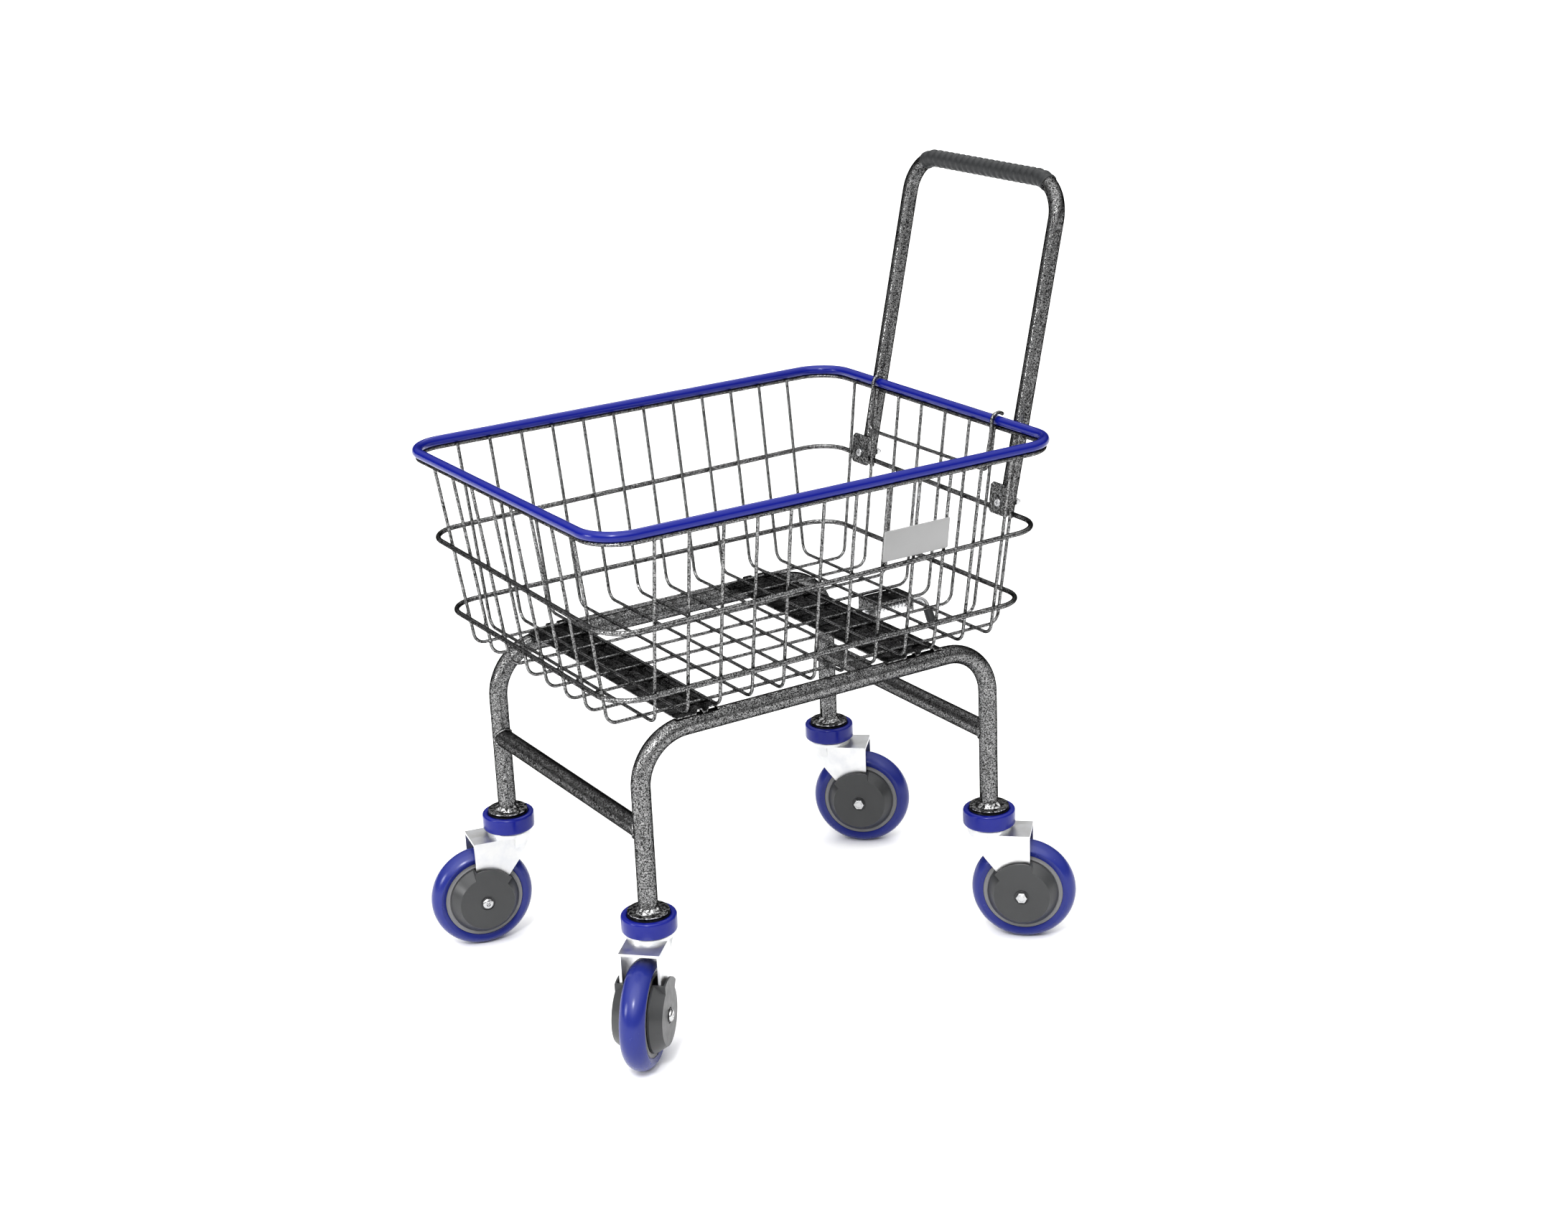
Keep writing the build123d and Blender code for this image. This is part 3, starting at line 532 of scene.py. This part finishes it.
def washers():
    """A flange washer with a smaller spacer under it, at each leg."""
    bore, flange_r, spacer_r = 7, 24, 20.5
    top = LEG_Z - 0.02
    flange_low, spacer_top, spacer_low = top - 2, top - 2.02, top - 3.8
    flange = [(bore, top), (flange_r, top), (flange_r, flange_low), (bore, flange_low)]
    spacer = [(bore, spacer_top), (spacer_r, spacer_top), (spacer_r, spacer_low),
              (bore, spacer_low)]
    s = Shape()
    for sx, sy, _ in CASTERS.values():
        at = Matrix.Translation((sx * HALF_BASE, sy * HALF_TRACK, 0))
        lathe(s, soften(flange, 0.6), 72, at)
        lathe(s, soften(spacer, 0.4), 64, at)
    s.build("leg_flanges", "weld", "frame", ["leg_washers"], "hammertone_coat")


# ------------------------------------------------------------------ basket

def up_share(z):
    """Share of the basket wall's height at z: 0 at the floor, 1 at the top."""
    return (z - FLOOR_Z) / (WALL_TOP_Z - FLOOR_Z)


def wall_x(z):
    """Half length between the wall wires' axes at height z."""
    return FLOOR_HX + up_share(z) * (TOP_HX - FLOOR_HX)


def wall_y(z):
    """Half width between the wall wires' axes at height z."""
    return FLOOR_HY + up_share(z) * (TOP_HY - FLOOR_HY)


def steps(count):
    """Whole steps centred on zero, such as -0.5 and 0.5 for two."""
    return [i - (count - 1) / 2 for i in range(count)]


def loop_path(hx, hy, z, radius, step, x=BASKET_X):
    return rounded_path([(x - hx, -hy, z), (x + hx, -hy, z), (x + hx, hy, z), (x - hx, hy, z)],
                        radius, step, closed=True)


def basket_wires():
    sides, arc_step = 14, 9.0
    across, along = Shape(), Shape()
    for k in steps(ACROSS_COUNT):
        xt = BASKET_X + (ACROSS_PITCH + ACROSS_SPREAD) * k
        xf = BASKET_X + ACROSS_PITCH * k
        path = rounded_path([(xt, -TOP_HY, WALL_TOP_Z), (xf, -FLOOR_HY, FLOOR_Z),
                             (xf, FLOOR_HY, FLOOR_Z), (xt, TOP_HY, WALL_TOP_Z)],
                            WIRE_BEND, arc_step)
        tube(across, path, WIRE_R, sides)
    z = FLOOR_Z - 2 * WIRE_R - 0.02
    for k in steps(ALONG_COUNT):
        yt, yf = (ALONG_PITCH + ALONG_SPREAD) * k, ALONG_PITCH * k
        path = rounded_path([(BASKET_X - TOP_HX, yt, WALL_TOP_Z), (BASKET_X - wall_x(z), yf, z),
                             (BASKET_X + wall_x(z), yf, z), (BASKET_X + TOP_HX, yt, WALL_TOP_Z)],
                            WIRE_BEND, arc_step)
        tube(along, path, WIRE_R, sides)
    across.build("wires_across", "wire", "frame", ["crosswise_wires"], "hammertone_coat")
    along.build("wires_along", "wire", "frame", ["lengthwise_wires"], "hammertone_coat")


def ring_place(word):
    z, shift, _, (tilt_x, tilt_y) = RINGS[word]
    turn_x = Matrix.Rotation(math.radians(tilt_x), 4, "X")
    turn_y = Matrix.Rotation(math.radians(tilt_y), 4, "Y")
    return Matrix.Translation((BASKET_X + shift[0], shift[1], z)) @ (turn_x @ turn_y)


def wire_welds():
    """Flattened nuggets where basket wires cross the rings and each other."""
    flat, wide = 1.5, 2.3
    rim = Matrix.Translation((BASKET_X, 0, RIM_Z - RIM_R - BARE_RIM_R))
    s = Shape()
    for place in (ring_place("upper"), ring_place("lower"), rim):
        base = place.translation.z
        for k in steps(ACROSS_COUNT):
            x = k * (ACROSS_PITCH + ACROSS_SPREAD * up_share(base))
            for side in (-1, 1):
                z = (place @ Vector((x, side * wall_y(base), 0))).z
                blob(s, (BASKET_X + x, side * (wall_y(z) + WIRE_R), z), (wide, flat, wide))
        for k in steps(ALONG_COUNT):
            y = k * (ALONG_PITCH + ALONG_SPREAD * up_share(base))
            for side in (-1, 1):
                z = (place @ Vector((side * wall_x(base), y, 0))).z
                blob(s, (BASKET_X + side * (wall_x(z) + WIRE_R), y, z), (flat, wide, wide))
    for i in steps(ACROSS_COUNT):
        for j in steps(ALONG_COUNT):
            blob(s, (BASKET_X + ACROSS_PITCH * i, ALONG_PITCH * j, FLOOR_Z - WIRE_R),
                 (2.2, 2.2, 1.2))
    s.build("wire_welds", "wire", "frame", slot="hammertone_coat", sharp=70)


def basket_rings():
    ring_off, bare_rim_off = 5.15, 4.65
    for word, (z, _, growth, _) in RINGS.items():
        hx, hy = wall_x(z) + ring_off + growth[0], wall_y(z) + ring_off + growth[1]
        s = tube(Shape(), loop_path(hx, hy, 0, RING_BEND, 4.0, x=0.0), RING_R, 20, closed=True,
                 place=ring_place(word))
        s.build(f"{word}_ring_wire", "wire", "frame", [f"{word}_ring"], "hammertone_coat")
    z = RIM_Z - RIM_R - BARE_RIM_R - 0.02
    path = loop_path(wall_x(z) + bare_rim_off, wall_y(z) + bare_rim_off, z, RIM_BEND, 5.0)
    s = tube(Shape(), path, BARE_RIM_R, 16, closed=True)
    s.build("rim_bare_wire", "wire", "frame", ["rim_wire"], "hammertone_coat")

    def hose(at, angle):
        return RIM_R - 0.03 * (1 + math.sin(at * 0.11))

    path = split_runs(loop_path(RIM_HX, RIM_HY, RIM_Z, RIM_BEND, 3.0), 6.0, closed=True)
    s = tube(Shape(), path, hose, 28, closed=True)
    s.build("rim_hose", "sleeve", "frame", ["rim_sleeve", "rim_core_wire"], "blue_plastic")


def label():
    """Blank plate on the left wall, with a softened edge and a slightly sunken face."""
    half_w, half_h, corner_r, x, z, off_wires = 44.5, 18.8, 1.5, 103.0, 548.25, 2.7
    # How far each step of the edge is inset, and its place through the plate's thickness.
    layers = [(0.0, 0.6), (0.0, -0.3), (0.3, -0.6), (1.6, -0.6), (1.8, -0.45)]
    lean = math.atan((TOP_HY - FLOOR_HY) / (WALL_TOP_Z - FLOOR_Z))
    at = Matrix.Translation((x, -wall_y(z), z)) @ Matrix.Rotation(lean, 4, "X")
    at = at @ Matrix.Translation((0, -off_wires, 0))
    outline = rounded_path([(-half_w, 0, -half_h), (half_w, 0, -half_h),
                            (half_w, 0, half_h), (-half_w, 0, half_h)],
                           corner_r, 15, closed=True)
    n = len(outline)
    verts, faces = [], []
    for inset, y in layers:
        for p in outline:
            verts.append((p.x * (half_w - inset) / half_w, y, p.z * (half_h - inset) / half_h))
    for i in range(len(layers) - 1):
        for k in range(n):
            m = (k + 1) % n
            faces.append((i * n + k, i * n + m, (i + 1) * n + m, (i + 1) * n + k))
    faces.append(tuple(range(n)))
    faces.append(tuple((len(layers) - 1) * n + k for k in range(n)))
    s = Shape().add(verts, faces, at)
    s.build("label_blank", "label", "frame", ["label_plate"], "label_plastic")


# ------------------------------------------------------------------ handle

def handle_point(y, down):
    """Point on the handle's plane, down along it from the bar's axis."""
    lean = math.radians(HANDLE_LEAN)
    return Vector((HANDLE_X - down * math.sin(lean), y, HANDLE_Z - down * math.cos(lean)))


def grip():
    """Soft sleeve along the bar and the start of both bends, with a spiral groove."""
    grip_r, depth, pitch, plain_end, end_round = 10.7, 0.9, 11.5, 4.0, 1.2
    bend, straight = HANDLE_BEND, HANDLE_HY - HANDLE_BEND
    sweep, count = math.radians(28.0), 8
    points = []
    for k in range(count + 1):
        a = sweep * (1 - k / count)
        points.append(handle_point(-straight - bend * math.sin(a), bend * (1 - math.cos(a))))
    for k in range(1, count + 1):
        a = sweep * k / count
        points.append(handle_point(straight + bend * math.sin(a), bend * (1 - math.cos(a))))
    path = split_runs(points, 0.9)
    total = sum((b - a).length for a, b in zip(path, path[1:]))

    def ribbed(at, angle):
        edge = min(at, total - at)
        if edge < plain_end:
            return grip_r - depth * max(0.0, 1 - edge / end_round) ** 2
        crest = 0.5 + 0.5 * math.cos(2 * math.pi * at / pitch - angle)
        return grip_r - depth * (1 - crest) ** 1.3

    s = tube(Shape(), path, ribbed, 48)
    s.build("ribbed_grip", "grip", "frame", ["handle_grip"], "grip_vinyl", sharp=55)


# ------------------------------------------------------------------ hook wire

def hook():
    """Wire hung over the rim: an arm with a slight sway at each side, and a bar below."""
    wire_r, wrap, bar_z, y, bend, off_wall = 2.25, 9.65, 572.0, 123.0, 9.0, 4.75
    rim_x = BASKET_X + RIM_HX
    inside = BASKET_X + wall_x(bar_z) - off_wall
    arc = []
    for angle in range(50, 181, 10):
        a = math.radians(angle)
        arc.append(Vector((rim_x + wrap * math.cos(a), -y, RIM_Z + wrap * math.sin(a))))
    top = rim_x - wrap
    arm = [(top, RIM_Z)]
    for share, sway in ((0.3, 0.3), (0.72, -2.4)):
        arm.append((top + share * (inside - top) + sway, RIM_Z + share * (bar_z - RIM_Z)))
    arm.append((inside, bar_z))
    corners = [(x, -y, z) for x, z in arm] + [(x, y, z) for x, z in reversed(arm)]
    body = rounded_path(corners, bend, 9.0)
    other = [Vector((p.x, y, p.z)) for p in reversed(arc)]
    s = tube(Shape(), arc + body[1:-1] + other, wire_r, 16, round_ends=True)
    s.build("hook_wire", "wire", "bag_hook", ["bag_hook_wire"], "hammertone_coat")


# ------------------------------------------------------------------ casters

def caster_place(name):
    sx, sy, heading = CASTERS[name]
    return (Matrix.Translation((sx * HALF_BASE, sy * HALF_TRACK, 0))
            @ Matrix.Rotation(math.radians(heading), 4, "Z"))


def axle_place(name):
    """Local Z along the axle."""
    at = caster_place(name) @ Matrix.Translation((TRAIL, 0, WHEEL_R))
    return at @ Matrix.Rotation(math.radians(-90), 4, "X")


def tyre_profile():
    half_width, crown, seat_r, seat_half = 15.0, 9.0, 48.5, 13.0
    arc_r = (half_width ** 2 + crown ** 2) / (2 * crown)
    sweep = math.asin(half_width / arc_r)
    points = []
    for k in range(25):
        a = sweep * (-1 + 2 * k / 24)
        points.append((WHEEL_R - arc_r + arc_r * math.cos(a), arc_r * math.sin(a)))
    return [(seat_r, -seat_half)] + points + [(seat_r, seat_half), (seat_r, -seat_half)]


def wheels():
    half = [(6.1, 20.0), (15.0, 20.0), (15.0, 3.2), (41.6, 3.2), (42.6, 12.6), (44.2, 12.8),
            (44.8, 12.2), (47.2, 12.2), (48.4, 12.6), (48.4, 0.0)]
    for name in CASTERS:
        at = axle_place(name)
        body = f"wheel_{name}"
        s = lathe(Shape(), soften(tyre_profile(), 0.8, 2), 128, at)
        s.build(f"wheel_tyre_{name}", "tyre", body, [f"tyre_{name}"], "tyre_blue")
        s = Shape()
        lathe(s, soften(half, 0.5, 3), 112, at)
        lathe(s, soften([(r, -z) for r, z in half], 0.5, 3), 112, at)
        s.build(f"wheel_centre_{name}", "core", body, [f"wheel_core_{name}"], "core_plastic")


def bumpers():
    inner, outer, low, high = 24.1, 31.75, 147.4, 168.0
    section = [(inner, low), (outer, low), (outer, high), (inner, high), (inner, low)]
    s = Shape()
    for name in CASTERS:
        lathe(s, soften(section, 3.6, 6), 96, caster_place(name))
    s.build("bumper_tyres", "sleeve", "frame", ["bumper_rings"], "blue_plastic")


def axle_screw(face, low, at):
    """Domed cross-recess screw head on the fork's outer face, and its shank."""
    shank_r = 4.0
    head = [(shank_r, face - 3), (6.2, face - 3), (6.8, face), (7.1, face + 0.8),
            (6.6, face + 2.4), (5.2, face + 3.6), (3.4, face + 4.0), (2.6, face + 3.9),
            (2.2, face + 2.0), (0, face + 2.0)]
    s = lathe(Shape(), soften(head, 0.3, 2), 40, at)
    for turn in (0, 90):
        spin = at @ Matrix.Rotation(math.radians(turn), 4, "Z")
        box = [(x, y, z) for x in (-3.2, 3.2) for y in (-0.6, 0.6)
               for z in (face + 1.8, face + 3.3)]
        s.add(box, [(0, 1, 3, 2), (4, 6, 7, 5), (0, 4, 5, 1), (2, 3, 7, 6), (0, 2, 6, 4),
                    (1, 5, 7, 3)], spin)
    return lathe(s, [(shank_r, low), (shank_r, face)], 32, at)


def axle_nut(face, at):
    """Hexagon lock nut with its round collar, on the other side."""
    rows = [(-face, 6.6), (-face - 0.5, 7.2), (-face - 3.9, 7.2), (-face - 4.6, 6.5)]
    collar = [(4.9, -face - 4.4), (4.9, -face - 4.9), (3.6, -face - 5.0), (3.4, -face - 5.2),
              (0, -face - 5.2)]
    verts, faces = [], []
    for z, r in rows:
        for k in range(6):
            a = math.radians(60 * k)
            verts.append((r * math.cos(a), r * math.sin(a), z))
    for i in range(len(rows) - 1):
        for k in range(6):
            m = (k + 1) % 6
            faces.append((i * 6 + k, i * 6 + m, (i + 1) * 6 + m, (i + 1) * 6 + k))
    faces.append(tuple(range(6)))
    faces.append(tuple((len(rows) - 1) * 6 + k for k in range(6)))
    return lathe(Shape().add(verts, faces, at), soften(collar, 0.2, 2), 32, at)


def axle_ends():
    face, shank_end = 29.05, -34.2
    for name in CASTERS:
        at, body = axle_place(name), f"swivel_{name}"
        axle_screw(face, shank_end, at).build(f"axle_screw_{name}", "bolt", body,
                                              [f"axle_bolt_{name}"], "bolt_steel")
        axle_nut(face, at).build(f"axle_locknut_{name}", "bolt", body, [f"axle_nut_{name}"],
                                 "bolt_steel", bevel=0.25)


# ------------------------------------------------------------------ latch

def latch():
    """Coil spring between the rod's collar and the far lug of the bracket."""
    seat, lug, y, z = 193.3, 244.0, -3.0, 383.3
    coil_r, wire_r, end_gap, turns, per_turn, travel = 5.3, 0.7, 0.8, 9, 24, 10.0
    start, end, count = seat + end_gap, lug - end_gap, turns * per_turn
    points = []
    for k in range(count + 1):
        a = 2 * math.pi * k / per_turn
        x = start + (end - start) * k / count
        points.append(Vector((x, y + coil_r * math.cos(a), z + coil_r * math.sin(a))))
    s = tube(Shape(), points, wire_r, 10, round_ends=True)
    coil = s.build("spring_coil", "spring", "latch_pull", ["latch_spring"], "spring_steel")
    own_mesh(coil)


# ------------------------------------------------------------------ stage

# Name, place, size in metres and power of each area lamp. All aim at the middle of the cart.
LAMPS = [
    ("key", (-1.7, -1.9, 2.4), 0.4, 34.0),
    ("left", (-2.6, 0.2, 1.0), 0.6, 16.0),
    ("back", (1.6, 2.4, 3.2), 1.0, 8.0),
]
LAMP_AIM = (0.0, 0.0, 0.4)
SUN_AIM, SUN_ANGLE, SUN_POWER = (0.35, 0.45, -0.9), 70, 1.2
# Brightness of the sky by height: dark near the floor, for dark undersides on the tubes.
SKY_STOPS = [(0.0, 0.02), (0.24, 0.03), (0.5, 0.45), (0.85, 1.0)]
SKY_BRIGHT_SIDE, SKY_LOW, SKY_HIGH = (-0.70, -0.70, 0.15), 0.9, 2.3


def add_floor():
    mesh = bpy.data.meshes.new("floor")
    verts, faces = [(0, 0, 0)], []
    rings, sides = (2, 8, 30, 120), 48
    for r in rings:
        verts += [(r * c, r * s, 0) for c, s in circle(sides)]
    for k in range(sides):
        m = (k + 1) % sides
        faces.append((0, 1 + k, 1 + m))
        for i in range(len(rings) - 1):
            a = 1 + i * sides
            faces.append((a + k, a + sides + k, a + sides + m, a + m))
    mesh.from_pydata(verts, [], faces)
    mat, tree, shader, coords = new_material("floor_paper", grey(0.93), 0.0, 0.85)
    mottled = noise(tree, coords, 3.0, 4.0)
    tint = ramp(tree, mottled.outputs["Fac"], [(0.3, grey(0.92)), (0.7, grey(0.94))])
    tree.links.new(tint.outputs["Color"], shader.inputs["Base Color"])
    shader.inputs["Specular IOR Level"].default_value = 0.1
    mesh.materials.append(mat)
    floor = bpy.data.objects.new("floor", mesh)
    bpy.context.scene.collection.objects.link(floor)


def add_sky():
    world = bpy.data.worlds.new("studio")
    world.use_nodes = True
    sky = world.node_tree
    where = sky.nodes.new("ShaderNodeTexCoord").outputs["Generated"]
    split = sky.nodes.new("ShaderNodeSeparateXYZ")
    sky.links.new(where, split.inputs["Vector"])
    height = ramp(sky, split.outputs["Z"], [(at, grey(v)) for at, v in SKY_STOPS])
    facing = sky.nodes.new("ShaderNodeVectorMath")
    facing.operation = "DOT_PRODUCT"
    facing.inputs[1].default_value = SKY_BRIGHT_SIDE
    sky.links.new(where, facing.inputs[0])
    side = sky.nodes.new("ShaderNodeMapRange")
    side.inputs["From Min"].default_value = -1.0
    side.inputs["From Max"].default_value = 1.0
    side.inputs["To Min"].default_value = SKY_LOW
    side.inputs["To Max"].default_value = SKY_HIGH
    sky.links.new(facing.outputs["Value"], side.inputs["Value"])
    background = sky.nodes["Background"]
    sky.links.new(height.outputs["Color"], background.inputs["Color"])
    sky.links.new(side.outputs["Result"], background.inputs["Strength"])
    bpy.context.scene.world = world


def add_lamp(data, aim, at=(0.0, 0.0, 0.0)):
    lamp = bpy.data.objects.new(data.name, data)
    lamp.location = at
    lamp.rotation_euler = Vector(aim).to_track_quat("-Z", "Y").to_euler()
    bpy.context.scene.collection.objects.link(lamp)


def stage():
    add_floor()
    add_sky()
    sun = bpy.data.lights.new("broad_sun", "SUN")
    sun.angle = math.radians(SUN_ANGLE)
    sun.energy = SUN_POWER
    add_lamp(sun, SUN_AIM)
    for name, at, size, power in LAMPS:
        light = bpy.data.lights.new(name, "AREA")
        light.size = size
        light.energy = power
        add_lamp(light, Vector(LAMP_AIM) - Vector(at), at)
    bpy.context.scene.view_settings.view_transform = "Standard"
    bpy.context.scene.view_settings.look = "Medium High Contrast"


cross_tubes()
weld_beads()
washers()
basket_wires()
wire_welds()
basket_rings()
label()
grip()
hook()
wheels()
bumpers()
axle_ends()
latch()
for node, mat in {
    "side_frame_left": "tube", "side_frame_right": "tube", "handle_tube": "handle",
    "floor_channel_front": "dark_coat", "floor_channel_rear": "dark_coat",
    "clamp_plates": "dark_coat", "clamp_screws": "bolt", "clamp_nuts": "bolt",
    "latch_bracket": "dark_coat", "latch_plunger": "bolt", "latch_tip": "grip",
    "kingpins": "steel", "swivel_housings": "steel", "swivel_balls": "bolt",
}.items():
    paint(node, mat)
for corner in CASTERS:
    paint(f"fork_{corner}", "zinc")
    paint(f"thread_guards_{corner}", "guard")
    paint(f"axle_sleeve_{corner}", "bolt")
stage()
